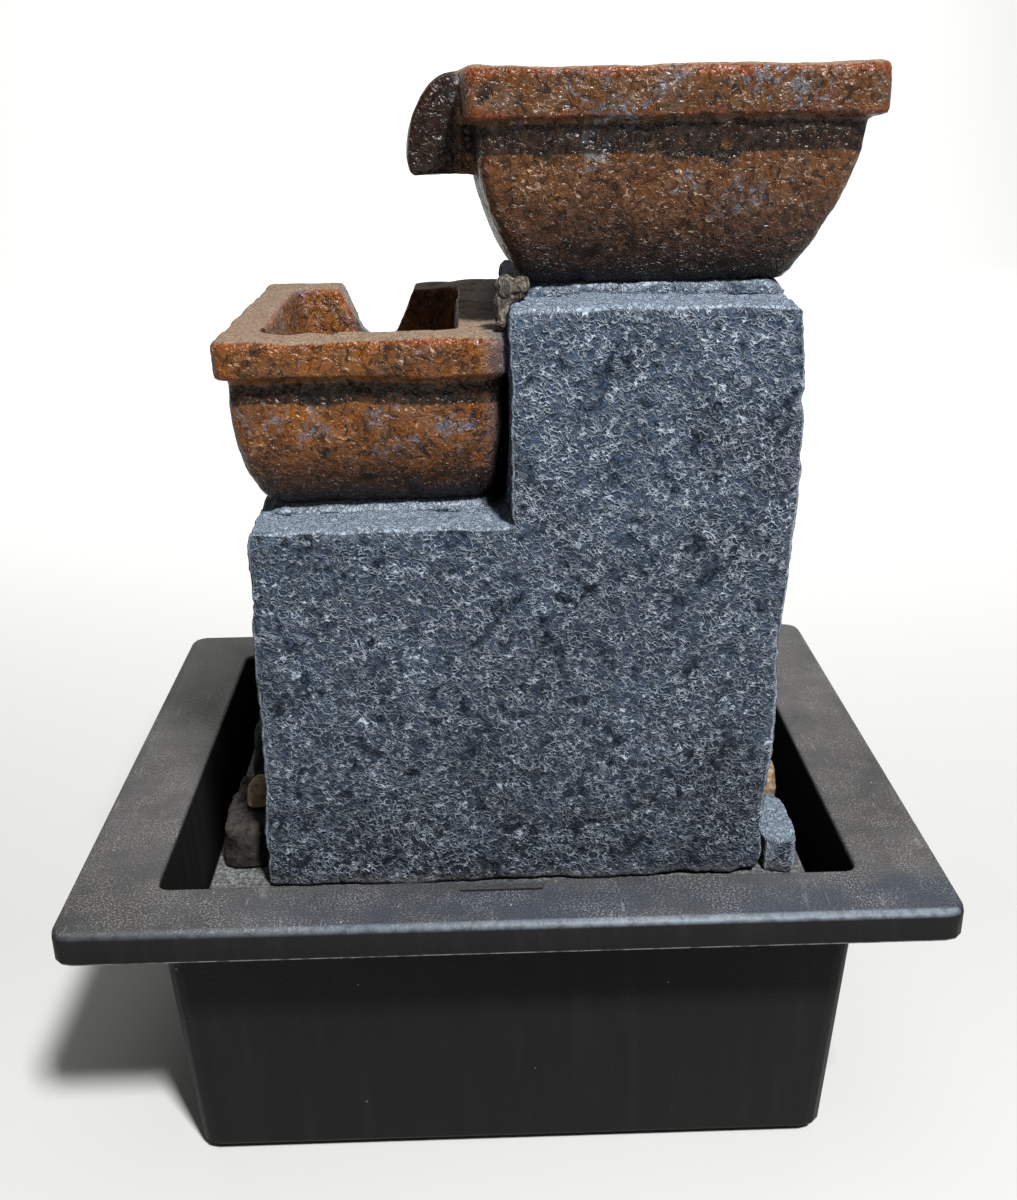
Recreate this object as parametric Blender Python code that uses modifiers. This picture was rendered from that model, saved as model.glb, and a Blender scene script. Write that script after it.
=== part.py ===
"""Tabletop water fountain: two cast bowls on a stepped slate pillar, over a pump basin.

The origin is the centre of the basin's footprint, on the surface that it stands on.
+X is to the right and +Y is towards the side that the water falls on. Units are metres,
so every size below is a number of millimetres times MM.
"""
import math
import random

import bmesh
import bpy
from mathutils import Matrix, Vector

MM = 0.001
GAP = 0.3                      # between pieces that touch

# Basin
RIM_HALF_X, RIM_HALF_Y = 105.0, 85.0
RIM_TOP = 84.5
SKIRT_HEIGHT = 8.0
OPENING_HALF_X, OPENING_HALF_Y = 83.6, 66.6
TUB_BOTTOM_HALF_X, TUB_BOTTOM_HALF_Y = 82.2, 64.4
WALL = 2.2
TUB_BOTTOM = 1.5
FLOOR = 4.0
PAD_X, PAD_Y, PAD_RADIUS = 70.0, 52.0, 6.0

# Cord notch in the near rim
NOTCH_HALF_OUT, NOTCH_HALF_IN, NOTCH_DEPTH = 9.5, 11.5, 4.6
NOTCH_X = -2.0
NOTCH_FLOOR = 81.8

# Deck that stands in the basin
DECK_HALF_X, DECK_HALF_Y = 73.0, 65.2
DECK_TOP, DECK_THICK = 80.7, 2.5
LEG_X, LEG_Y, LEG_HALF = 66.0, 58.0, 4.0
HATCH = (-42.0, 50.0, -50.0, 2.0)

# Pillar
PILLAR_X = (-57.0, 63.5)
PILLAR_Y = (-62.8, 16.0)
PILLAR_WALL = 6.0
STEP_X = 2.0
STEP_TOP, PILLAR_TOP = 171.9, 218.6
STONE_BASE = DECK_TOP + GAP

# Bowls
LOWER_BASE, UPPER_BASE = 174.0, 220.9
UPPER_X, UPPER_Y = 34.9, -25.0
UPPER_YAW = 2.0
SPOUT_HALF, SPOUT_TIP_X = 13.0, -19.0
UPPER_FLOOR = 234.0

# Pump, with its shaft along X
PUMP_Y, SHAFT_Z, SHAFT_RADIUS = -25.0, 32.0, 1.5
MOTOR_X = (-12.0, 18.0)
MOTOR_HALF_Y, MOTOR_Z = 18.0, (8.0, 46.0)
MOTOR_WALL = 1.8
WELL_RADIUS, WELL_WALL, WELL_END = 7.7, 1.8, -5.0
VOLUTE_X, VOLUTE_RADIUS = (18.3, 30.0), 15.5
NOZZLE_X, NOZZLE_RADIUS, NOZZLE_TOP = 23.5, 4.5, 58.0
COVER_X, COVER_HALF = (30.3, 38.3), 17.0

# Hose
HOSE_RADIUS, HOSE_WALL = 6.0, 1.2
HOSE_BOTTOM, HOSE_TOP = 48.5, 237.0
INLET_RADIUS = 7.5


def clear_scene():
    """Empty the scene, and make one collection for the fountain and one for the cutters."""
    for item in list(bpy.data.objects):
        bpy.data.objects.remove(item)
    collections = []
    for name in ("tabletop_fountain", "cutters"):
        collection = bpy.data.collections.new(name)
        bpy.context.scene.collection.children.link(collection)
        collections.append(collection)
    return collections


PARTS, CUTTERS = clear_scene()


def material(name, hex_colour, roughness, metallic=0.0):
    """A Principled BSDF in one sRGB colour."""
    surface = bpy.data.materials.new(name)
    surface.use_nodes = True
    shader = surface.node_tree.nodes["Principled BSDF"]
    channels = [int(hex_colour[i:i + 2], 16) / 255 for i in (0, 2, 4)]
    linear = [c / 12.92 if c <= 0.04045 else ((c + 0.055) / 1.055) ** 2.4 for c in channels]
    shader.inputs["Base Color"].default_value = (*linear, 1.0)
    shader.inputs["Roughness"].default_value = roughness
    shader.inputs["Metallic"].default_value = metallic
    return surface


ABS_BLACK = material("black_abs", "26221f", 0.5)
SLATE = material("painted_slate_resin", "3a4450", 0.85)
TERRACOTTA = material("bronze_terracotta_resin", "7a4a20", 0.5)
MORTAR = material("grey_mortar", "5c6670", 0.9)
BROWN_STONE = material("brown_stone_resin", "4a423a", 0.85)
TAN_STONE = material("tan_stone_resin", "a48d70", 0.8)
RUBBER = material("black_rubber", "1a1a1a", 0.8)
SILICONE = material("clear_silicone", "c9cfd2", 0.35)
PUMP_PLASTIC = material("pump_black_plastic", "202224", 0.45)
DIAL_PLASTIC = material("blue_dial_plastic", "2f5f95", 0.45)
EPOXY = material("black_epoxy", "15171a", 0.25)
CERAMIC = material("white_ceramic", "e8e6e0", 0.2)
FERRITE = material("ferrite_magnet", "35363a", 0.5)
STEEL = material("lamination_steel", "8d9094", 0.4, 1.0)
COPPER = material("enamelled_copper", "a5522a", 0.35, 1.0)


def finish(name, mesh, surface=None):
    """Put a mesh into the fountain with its material, or into the cutters without one."""
    obj = bpy.data.objects.new(name, mesh)
    if surface is None:
        CUTTERS.objects.link(obj)
        obj.hide_render = True
        obj.display_type = "WIRE"
    else:
        PARTS.objects.link(obj)
        mesh.materials.append(surface)
    return obj


def from_bmesh(name, bm, surface=None):
    bmesh.ops.recalc_face_normals(bm, faces=bm.faces)
    mesh = bpy.data.meshes.new(name)
    bm.to_mesh(mesh)
    bm.free()
    return finish(name, mesh, surface)


def box(name, x, y, z, surface=None):
    """A box between the low and high ends of each range, in millimetres."""
    bm = bmesh.new()
    centre = Vector([(low + high) / 2 * MM for low, high in (x, y, z)])
    size = Vector([(high - low) * MM for low, high in (x, y, z)])
    bmesh.ops.create_cube(bm, size=1.0, matrix=Matrix.LocRotScale(centre, None, size))
    return from_bmesh(name, bm, surface)


def rod(name, radius, start, end, surface=None, segments=32, end_radius=None):
    """A round bar or cone between two points, in millimetres."""
    start, end = Vector(start) * MM, Vector(end) * MM
    turn = (end - start).to_track_quat("Z", "Y")
    place = Matrix.LocRotScale((start + end) / 2, turn, None)
    tip = radius if end_radius is None else end_radius
    bm = bmesh.new()
    bmesh.ops.create_cone(bm, cap_ends=True, segments=segments, radius1=radius * MM,
                          radius2=tip * MM, depth=(end - start).length, matrix=place)
    obj = from_bmesh(name, bm, surface)
    smooth(obj)
    return obj


def smooth(obj, angle=35):
    obj.data.shade_smooth()
    obj.data.set_sharp_from_angle(angle=math.radians(angle))


def apply_boolean(obj, tool, operation):
    step = obj.modifiers.new(f"{operation.lower()}_{tool.name}", "BOOLEAN")
    step.operation = operation
    step.solver = "EXACT"
    step.object = tool


def cut(obj, *tools):
    for tool in tools:
        apply_boolean(obj, tool, "DIFFERENCE")


def join(obj, *tools):
    for tool in tools:
        apply_boolean(obj, tool, "UNION")


def bevel(obj, width, segments=2, angle=30):
    step = obj.modifiers.new("rounded_edges", "BEVEL")
    step.width = width * MM
    step.segments = segments
    step.limit_method = "ANGLE"
    step.angle_limit = math.radians(angle)
    return obj


def rounded_rectangle(z, x, y, radius, steps=3):
    """Points round a rectangle with round corners, at height z."""
    centres = [(x[1] - radius, y[1] - radius), (x[0] + radius, y[1] - radius),
               (x[0] + radius, y[0] + radius), (x[1] - radius, y[0] + radius)]
    points = []
    for corner, (cx, cy) in enumerate(centres):
        for step in range(steps + 1):
            angle = math.radians(90 * (corner + step / steps))
            points.append((cx + radius * math.cos(angle), cy + radius * math.sin(angle), z))
    return points


def centred(z, half_x, half_y, radius, x=0.0, y=0.0):
    return rounded_rectangle(z, (x - half_x, x + half_x), (y - half_y, y + half_y), radius)


def loft(name, loops, surface=None):
    """A closed body through loops of equal length, capped at the first and the last."""
    bm = bmesh.new()
    rings = [[bm.verts.new(Vector(point) * MM) for point in loop] for loop in loops]
    for ring, following in zip(rings, rings[1:]):
        for i in range(len(ring)):
            j = (i + 1) % len(ring)
            bm.faces.new((ring[i], ring[j], following[j], following[i]))
    bm.faces.new(rings[0])
    bm.faces.new(rings[-1])
    return from_bmesh(name, bm, surface)


def turned(name, profile, place, surface, axis="Z", steps=28):
    """A profile of (radius, height) points, top to bottom on its outer side, spun round."""
    bm = bmesh.new()
    verts = [bm.verts.new((radius * MM, 0, height * MM)) for radius, height in profile]
    closed = profile[0][0] > 0
    for i in range(len(verts) if closed else len(verts) - 1):
        bm.edges.new((verts[i], verts[(i + 1) % len(verts)]))
    mesh = bpy.data.meshes.new(name)
    bm.to_mesh(mesh)
    bm.free()
    obj = finish(name, mesh, surface)
    screw = obj.modifiers.new("turned", "SCREW")
    screw.axis = "Z"
    screw.steps = steps
    screw.render_steps = steps
    screw.use_merge_vertices = True
    screw.merge_threshold = 0.00001
    screw.use_smooth_shade = False
    obj.location = Vector(place) * MM
    if axis == "X":
        obj.rotation_euler = (0, math.radians(90), 0)
    return obj


def ring(name, outer, inner, low, high, place, surface, axis="Z", steps=28):
    """A plain ring, from low to high along its axis."""
    profile = [(outer, high), (outer, low), (inner, low), (inner, high)]
    return turned(name, profile, place, surface, axis, steps)


def extruded(name, outline, y, surface=None):
    """An outline of (x, z) points in the upright plane, thick between the two y values."""
    curve = bpy.data.curves.new(name, "CURVE")
    curve.dimensions = "2D"
    curve.fill_mode = "BOTH"
    curve.extrude = (y[1] - y[0]) / 2 * MM
    line = curve.splines.new("POLY")
    line.points.add(len(outline) - 1)
    for point, (x, z) in zip(line.points, outline):
        point.co = (x * MM, z * MM, 0, 1)
    line.use_cyclic_u = True
    source = bpy.data.objects.new(name + "_outline", curve)
    CUTTERS.objects.link(source)
    bpy.context.view_layer.update()
    mesh = bpy.data.meshes.new_from_object(source.evaluated_get(
        bpy.context.evaluated_depsgraph_get()))
    bpy.data.objects.remove(source)
    stand = Matrix.Translation((0, (y[0] + y[1]) / 2 * MM, 0)) @ Matrix.Rotation(math.pi / 2, 4, "X")
    bm = bmesh.new()
    bm.from_mesh(mesh)
    bmesh.ops.remove_doubles(bm, verts=bm.verts, dist=0.00001)
    bm.transform(stand)
    return from_bmesh(name, bm, surface)


def make_basin():
    """Black tub with a wide rim, a turned-down skirt and a cord notch in the near side."""
    flange_under = RIM_TOP - WALL
    tub_top_x, tub_top_y = OPENING_HALF_X + WALL, OPENING_HALF_Y + WALL
    loops = [
        centred(FLOOR, TUB_BOTTOM_HALF_X - WALL - 1, TUB_BOTTOM_HALF_Y - WALL - 1, 3),
        centred(FLOOR + 1.2, TUB_BOTTOM_HALF_X - WALL, TUB_BOTTOM_HALF_Y - WALL, 2.6),
        centred(RIM_TOP - 0.8, OPENING_HALF_X, OPENING_HALF_Y, 2.6),
        centred(RIM_TOP, OPENING_HALF_X + 0.8, OPENING_HALF_Y + 0.8, 3.4),
        centred(RIM_TOP, RIM_HALF_X - 1.5, RIM_HALF_Y - 1.5, 3.5),
        centred(RIM_TOP - 0.45, RIM_HALF_X - 0.45, RIM_HALF_Y - 0.45, 4.5),
        centred(RIM_TOP - 1.5, RIM_HALF_X, RIM_HALF_Y, 5),
        centred(RIM_TOP - SKIRT_HEIGHT, RIM_HALF_X, RIM_HALF_Y, 5),
        centred(RIM_TOP - SKIRT_HEIGHT, RIM_HALF_X - WALL, RIM_HALF_Y - WALL, 3),
        centred(flange_under, RIM_HALF_X - WALL, RIM_HALF_Y - WALL, 3),
        centred(flange_under, tub_top_x, tub_top_y, 5),
        centred(TUB_BOTTOM + 1.5, TUB_BOTTOM_HALF_X, TUB_BOTTOM_HALF_Y, 5),
        centred(TUB_BOTTOM, TUB_BOTTOM_HALF_X - 1.5, TUB_BOTTOM_HALF_Y - 1.5, 4),
    ]
    basin = loft("basin", loops, ABS_BLACK)
    edge = -OPENING_HALF_Y
    saddle = box("notch_saddle", (NOTCH_X - 14, NOTCH_X + 14), (edge - NOTCH_DEPTH - 2, edge - 1),
                 (NOTCH_FLOOR - 2, flange_under + 0.6))
    pocket = loft("notch_pocket", [
        [(NOTCH_X + sign * half, y, z) for sign, half, y in (
            (-1, NOTCH_HALF_IN, edge + 2), (1, NOTCH_HALF_IN, edge + 2),
            (1, NOTCH_HALF_OUT, edge - NOTCH_DEPTH), (-1, NOTCH_HALF_OUT, edge - NOTCH_DEPTH))]
        for z in (NOTCH_FLOOR, RIM_TOP + 3)])
    join(basin, saddle)
    cut(basin, pocket)
    for i, (sx, sy) in enumerate(((-1, -1), (1, -1), (1, 1), (-1, 1)), start=1):
        pad = rod(f"foot_pad_{i}", PAD_RADIUS, (sx * PAD_X, sy * PAD_Y, 0),
                  (sx * PAD_X, sy * PAD_Y, TUB_BOTTOM - GAP), RUBBER, segments=24)
        bevel(pad, 0.3, 1)


def make_deck():
    """Flat platform on four legs that carries the stones and the pillar above the water."""
    deck = loft("deck", [
        centred(DECK_TOP - DECK_THICK, DECK_HALF_X, DECK_HALF_Y, 4),
        centred(DECK_TOP - 0.5, DECK_HALF_X, DECK_HALF_Y, 4),
        centred(DECK_TOP, DECK_HALF_X - 0.5, DECK_HALF_Y - 0.5, 3.5)], ABS_BLACK)
    hatch = box("deck_hatch", HATCH[:2], HATCH[2:], (DECK_TOP - 10, DECK_TOP + 5))
    cut(deck, hatch)
    under = DECK_TOP - DECK_THICK
    for sx in (-1, 1):
        for sy in (-1, 1):
            leg = loft(f"deck_leg_{sx}_{sy}", [
                centred(FLOOR + GAP, LEG_HALF - 1, LEG_HALF - 1, 1, sx * LEG_X, sy * LEG_Y),
                centred(under + 0.5, LEG_HALF, LEG_HALF, 1, sx * LEG_X, sy * LEG_Y)])
            join(deck, leg)
        rib = box(f"deck_rib_{sx}", (sx * LEG_X - 1, sx * LEG_X + 1), (-LEG_Y, LEG_Y),
                  (under - 8, under + 0.5))
        join(deck, rib)


def make_pillar():
    """Stepped, hollow slate casting, open underneath, with the hose's hole in its top."""
    pillar = box("pillar", PILLAR_X, PILLAR_Y, (STONE_BASE, PILLAR_TOP), SLATE)
    step = box("pillar_step", (PILLAR_X[0] - 5, STEP_X), (PILLAR_Y[0] - 5, PILLAR_Y[1] + 5),
               (STEP_TOP, PILLAR_TOP + 5))
    inside_y = (PILLAR_Y[0] + PILLAR_WALL, PILLAR_Y[1] - PILLAR_WALL)
    low_room = box("pillar_low_room", (PILLAR_X[0] + PILLAR_WALL, PILLAR_X[1] - PILLAR_WALL),
                   inside_y, (STONE_BASE - 5, STEP_TOP - PILLAR_WALL))
    high_room = box("pillar_high_room", (STEP_X + PILLAR_WALL, PILLAR_X[1] - PILLAR_WALL),
                    inside_y, (STEP_TOP - PILLAR_WALL - 5, PILLAR_TOP - PILLAR_WALL))
    join(low_room, high_room)
    hole = rod("pillar_hose_hole", INLET_RADIUS, (UPPER_X, UPPER_Y, PILLAR_TOP - 15),
               (UPPER_X, UPPER_Y, PILLAR_TOP + 5))
    cut(pillar, step)
    bevel(pillar, 1.5, 2)
    cut(pillar, low_room, hole)


def make_lower_bowl():
    """Rectangular bowl on the step, whose far wall has a spout notch."""
    outside = [
        (LOWER_BASE, (-51.6, -2.5), (-47, 13)),
        (LOWER_BASE + 3, (-54, -1.8), (-50, 16)),
        (LOWER_BASE + 8, (-56.3, -1.0), (-53, 19.5)),
        (LOWER_BASE + 15, (-58, -0.3), (-55.5, 22)),
        (LOWER_BASE + 23, (-58.5, 0), (-56.5, 23.3)),
        (LOWER_BASE + 29.6, (-58.2, 0), (-56.5, 23.3)),
        (LOWER_BASE + 30.2, (-60.5, 1.5), (-60, 26)),
        (LOWER_BASE + 37.4, (-60.6, 1.6), (-60.2, 26)),
        (LOWER_BASE + 38.3, (-59.8, 0.8), (-59.2, 25.2)),
    ]
    inside = [
        (LOWER_BASE + 38.3, (-51.5, -9), (-49, 12)),
        (LOWER_BASE + 32, (-50, -10), (-47.5, 10.5)),
        (LOWER_BASE + 18, (-47, -13), (-44, 7)),
        (LOWER_BASE + 12, (-41, -18), (-38, 2)),
    ]
    loops = [rounded_rectangle(z, x, y, 3.5) for z, x, y in outside + inside]
    bowl = loft("lower_bowl", loops, TERRACOTTA)
    top = LOWER_BASE + 42
    notch = extruded("spout_notch", [(-42, top), (-34.5, top - 15), (-31.5, top - 17),
                                     (-28.5, top - 17), (-26, top - 15), (-19.5, top)], (6, 30))
    cut(bowl, notch)
    bed = rounded_rectangle(STEP_TOP + GAP, (-53.2, -1.2), (-49, 14.4), 4)
    bed_top = rounded_rectangle(LOWER_BASE - GAP, (-52, -2.2), (-47.5, 13.4), 4)
    loft("lower_bowl_bed", [bed, bed_top], MORTAR)


def make_upper_bowl():
    """Rectangular bowl on the pillar's top, with a quarter-round spout towards the lower bowl."""
    turn = bpy.data.objects.new("upper_bowl_place", None)
    PARTS.objects.link(turn)
    turn.location = (UPPER_X * MM, UPPER_Y * MM, 0)
    turn.rotation_euler = (0, 0, math.radians(UPPER_YAW))
    belly = [(0, 29.5, 19.5), (2.1, 31.3, 21.3), (6.1, 33.6, 23.6), (10.1, 35.5, 25.5),
             (15.1, 37.4, 27.3), (20.1, 38.7, 28.6), (26.1, 39.5, 29.4), (33.4, 39.9, 29.8)]
    rim = [(34.0, 42.0, 31.9), (42.5, 42.2, 32.1), (43.4, 41.4, 31.3)]
    hollow = [(43.4, 33.5, 23.5), (37.1, 32.5, 22.5), (23.1, 29.5, 19.5),
              (UPPER_FLOOR - UPPER_BASE, 24, 15)]
    loops = [centred(UPPER_BASE + z, x, y, 3.5) for z, x, y in belly + rim + hollow]
    bowl = loft("upper_bowl", loops, TERRACOTTA)
    rim_top = UPPER_BASE + 43.4
    tip = SPOUT_TIP_X - UPPER_X
    root = -38.0
    curve = [(tip + 11 - 11 * math.cos(math.radians(a)), rim_top - 18.5
              + 17.9 * math.sin(math.radians(a))) for a in range(0, 91, 15)]
    outline = [(root, rim_top - 21), (tip + 0.8, rim_top - 21), *curve, (root, rim_top - 0.6)]
    spout = extruded("upper_spout", outline, (-SPOUT_HALF, SPOUT_HALF))
    channel = extruded("spout_channel", [(tip - 5, rim_top - 9.5), (-28, rim_top - 7),
                                         (-28, rim_top + 5), (tip - 5, rim_top + 5)], (-6, 6))
    hole = rod("bowl_hose_hole", INLET_RADIUS, (0, 0, UPPER_BASE - 5), (0, 0, UPPER_FLOOR + 5))
    join(bowl, spout)
    cut(bowl, channel, hole)
    for obj in (bowl, spout, channel, hole):
        obj.parent = turn


def make_upper_bed():
    """Mortar bed under the upper bowl, with the hose's hole, and the lump at its corner."""
    loops = [rounded_rectangle(PILLAR_TOP + GAP, (UPPER_X - 31.0, PILLAR_X[1] - 1.0),
                               (UPPER_Y - 21.0, UPPER_Y + 21.0), 4),
             rounded_rectangle(UPPER_BASE - GAP, (UPPER_X - 30.0, PILLAR_X[1] - 2.0),
                               (UPPER_Y - 20.0, UPPER_Y + 20.0), 4)]
    bed = loft("upper_bowl_bed", loops, MORTAR)
    cut(bed, rod("bed_hose_hole", INLET_RADIUS, (UPPER_X, UPPER_Y, PILLAR_TOP - 5),
                 (UPPER_X, UPPER_Y, UPPER_BASE + 5)))
    stone("mortar_lump", (2.4, 7.4), (-56.5, -48.4), (PILLAR_TOP + GAP, PILLAR_TOP + 5.4), 3, MORTAR)


def stone(name, x, y, z, seed, surface, taper=0.72):
    """A rough faceted stone with a flat bottom, that fills the box between the ranges."""
    bm = bmesh.new()
    bmesh.ops.create_cube(bm, size=2.0)
    bmesh.ops.subdivide_edges(bm, edges=bm.edges, cuts=2, use_grid_fill=True)
    dice = random.Random(seed)
    for vert in bm.verts:
        side = 1 - (1 - taper) * (vert.co.z + 1) / 2
        corner = 0.86 if min(abs(vert.co.x), abs(vert.co.y)) > 0.9 else 1.0
        nick = 1 - 0.1 * dice.random()
        vert.co.x *= side * corner * nick
        vert.co.y *= side * corner * nick
        if vert.co.z > 0.9:
            vert.co.z -= 0.3 * dice.random() * max(abs(vert.co.x), abs(vert.co.y))
    centre = [(low + high) / 2 * MM for low, high in (x, y, z)]
    scale = [(high - low) / 2 * MM for low, high in (x, y, z)]
    bm.transform(Matrix.LocRotScale(Vector(centre), None, Vector(scale)))
    return from_bmesh(name, bm, surface)


def make_stones():
    """Stones glued to the deck: two rows beside the pillar and the splash stones in front."""
    base = STONE_BASE
    stone("ledge_right", (64.0, 71.5), (-62.4, -38), (base, base + 8.8), 1, SLATE, taper=0.95)
    stone("stone_right_tan", (64.0, 72.0), (-37.4, -12), (base, base + 11.5), 2, TAN_STONE, 0.9)
    stone("stone_left_near", (-71.5, -57.5), (-56, -21), (base, base + 10.8), 4, BROWN_STONE, 0.85)
    stone("pebble_left_tan", (-66.5, -58.2), (-46, -34), (base + 11.1, base + 17), 5, TAN_STONE)
    stone("stone_left_far", (-69.5, -57.5), (-20.4, 3), (base, base + 18.5), 6, BROWN_STONE)
    stone("splash_stone", (-50, -14), (17, 47), (base, base + 13), 7, SLATE, 0.8)
    stone("boulder_front", (-12, 20), (17.2, 44), (base, base + 27), 8, BROWN_STONE)
    stone("boulder_front_right", (23, 55), (17.2, 40), (base, base + 20), 9, SLATE)
    stone("pebble_front_1", (-66, -53), (30, 44), (base, base + 8), 10, TAN_STONE)
    stone("pebble_front_2", (-32, -16), (48.5, 60), (base, base + 7), 11, TAN_STONE)
    stone("pebble_front_3", (-8, 6), (46, 58), (base, base + 8), 12, BROWN_STONE)
    stone("pebble_front_4", (22, 38), (43, 57), (base, base + 9), 13, TAN_STONE)


def hose_point(share):
    """A point on the hose's centre line, from the pump's nozzle to the upper bowl."""
    swing = 0.5 - 0.5 * math.cos(math.pi * min(1.0, max(0.0, (share - 0.12) / 0.68)))
    return (NOZZLE_X + (UPPER_X - NOZZLE_X) * swing, PUMP_Y,
            HOSE_BOTTOM + (HOSE_TOP - HOSE_BOTTOM) * share)


def make_hose():
    """Silicone riser hose from the pump's nozzle to the upper bowl, with its outlet fittings."""
    curve = bpy.data.curves.new("riser_hose", "CURVE")
    curve.dimensions = "3D"
    curve.bevel_depth = HOSE_RADIUS * MM
    curve.bevel_resolution = 4
    line = curve.splines.new("POLY")
    count = 24
    line.points.add(count - 1)
    for i, point in enumerate(line.points):
        point.co = (*(Vector(hose_point(i / (count - 1))) * MM), 1)
    source = bpy.data.objects.new("riser_hose_line", curve)
    CUTTERS.objects.link(source)
    bpy.context.view_layer.update()
    mesh = bpy.data.meshes.new_from_object(source.evaluated_get(
        bpy.context.evaluated_depsgraph_get()))
    bpy.data.objects.remove(source)
    mesh.materials.clear()
    hose = finish("riser_hose", mesh, SILICONE)
    wall = hose.modifiers.new("hose_wall", "SOLIDIFY")
    wall.thickness = HOSE_WALL * MM
    wall.offset = -1
    place = (UPPER_X, UPPER_Y, 0)
    turned("outlet_grommet", [(10.5, UPPER_FLOOR + 2.6), (10.5, UPPER_FLOOR + GAP),
                              (INLET_RADIUS - GAP, UPPER_FLOOR + GAP),
                              (INLET_RADIUS - GAP, PILLAR_TOP - 4), (HOSE_RADIUS + GAP, PILLAR_TOP - 4),
                              (HOSE_RADIUS + GAP, UPPER_FLOOR + 2.6)], place, RUBBER)
    inner = HOSE_RADIUS - HOSE_WALL - GAP
    turned("outlet_nozzle", [(7.5, HOSE_TOP + 2.2), (7.5, HOSE_TOP + GAP), (inner, HOSE_TOP + GAP),
                             (inner, HOSE_TOP - 10), (inner - 1.2, HOSE_TOP - 10),
                             (inner - 1.2, HOSE_TOP + 2.2)], place, SILICONE)


def make_motor():
    """Potted motor: its housing with the rotor's well, laminated core, winding and cap."""
    back, front = MOTOR_X
    wide = (PUMP_Y - MOTOR_HALF_Y, PUMP_Y + MOTOR_HALF_Y)
    housing = box("motor_housing", MOTOR_X, wide, MOTOR_Z, PUMP_PLASTIC)
    bevel(housing, 1.5)
    inner_y = (wide[0] + MOTOR_WALL, wide[1] - MOTOR_WALL)
    inner_z = (MOTOR_Z[0] + MOTOR_WALL, MOTOR_Z[1] - MOTOR_WALL)
    room = box("motor_room", (back - 5, front - MOTOR_WALL), inner_y, inner_z)
    axis = (PUMP_Y, SHAFT_Z)
    well = rod("well_tube", WELL_RADIUS + WELL_WALL, (WELL_END - WELL_WALL, *axis), (front - 0.5, *axis))
    bore = rod("well_bore", WELL_RADIUS, (WELL_END, *axis), (front + 5, *axis))
    cut(housing, room)
    join(housing, well)
    cut(housing, bore)
    core_y, slot_y = 14.5, 10.2
    core = box("stator_core", (-2, 10), (PUMP_Y - core_y, PUMP_Y + core_y), (12, 40), STEEL)
    slot = box("core_slot", (-5, 15), (PUMP_Y - slot_y, PUMP_Y + slot_y), (18.5, 45))
    cut(core, slot)
    coil = box("stator_winding", (-5.4, 13.4), (PUMP_Y - 9.4, PUMP_Y + 9.4), (10.3, 21.2), COPPER)
    bevel(coil, 1.2)
    window = box("winding_window", (-2.4, 10.4), (PUMP_Y - 15, PUMP_Y + 15), (11.7, 18.9))
    cut(coil, window)
    cap = box("potting_cap", (back + 0.4, back + 3.4), (inner_y[0] + GAP, inner_y[1] - GAP),
              (inner_z[0] + GAP, inner_z[1] - GAP), EPOXY)
    gland_z, gland_radius = 16.0, 3.6
    gland_y = PUMP_Y + 11
    cut(cap, rod("gland_hole", gland_radius + GAP, (back - 5, gland_y, gland_z),
                 (back + 5, gland_y, gland_z), segments=24))
    turned("cord_gland", [(2.4, 5.0), (gland_radius, 5.0), (gland_radius, 0.1), (4.8, 0.1),
                          (4.0, -4.0), (2.4, -4.0)], (back, gland_y, gland_z), RUBBER,
           axis="X", steps=20)
    for i, (x, side) in enumerate(((-6, -1), (12, -1), (12, 1), (-6, 1)), start=1):
        turned(f"suction_cup_{i}", [(0, MOTOR_Z[0] - GAP), (2.6, MOTOR_Z[0] - GAP), (2.8, 6.6),
                                    (5.2, FLOOR + GAP), (4.0, FLOOR + GAP), (1.6, 5.6), (0, 5.6)],
               (x, PUMP_Y + side * 12, 0), SILICONE, steps=20)


def make_rotor():
    """Magnet and impeller that spin on a fixed ceramic shaft between two bushes."""
    place = (0, PUMP_Y, SHAFT_Z)
    running = 0.05
    ring("rear_bush", 4.0, SHAFT_RADIUS + GAP, WELL_END + GAP, -2.2, place, RUBBER, "X", 20)
    ring("front_bush", 2.5, SHAFT_RADIUS + GAP, 26.0, 28.8, place, RUBBER, "X", 20)
    rod("rotor_shaft", SHAFT_RADIUS, (-4.4, *place[1:]), (28.5, *place[1:]), CERAMIC, segments=28)
    ring("rotor_magnet", 7.2, SHAFT_RADIUS + running, -1.9, 12.0, place, FERRITE, "X")
    impeller = ring("impeller", 4.0, SHAFT_RADIUS + running, 12.3, 25.5, place, PUMP_PLASTIC, "X")
    plate = rod("impeller_plate", 12.0, (18.9, *place[1:]), (20.3, *place[1:]))
    plate_bore = rod("impeller_plate_bore", 3.0, (18, *place[1:]), (21, *place[1:]))
    cut(plate, plate_bore)
    join(impeller, plate)
    for i in range(6):
        blade = box(f"impeller_blade_{i}", (20.0, 24.6), (-0.7, 0.7), (3.4, 11.8))
        blade.data.transform(Matrix.Rotation(i * math.pi / 3, 4, "X"))
        blade.data.transform(Matrix.Translation(Vector(place) * MM))
        join(impeller, blade)


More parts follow.
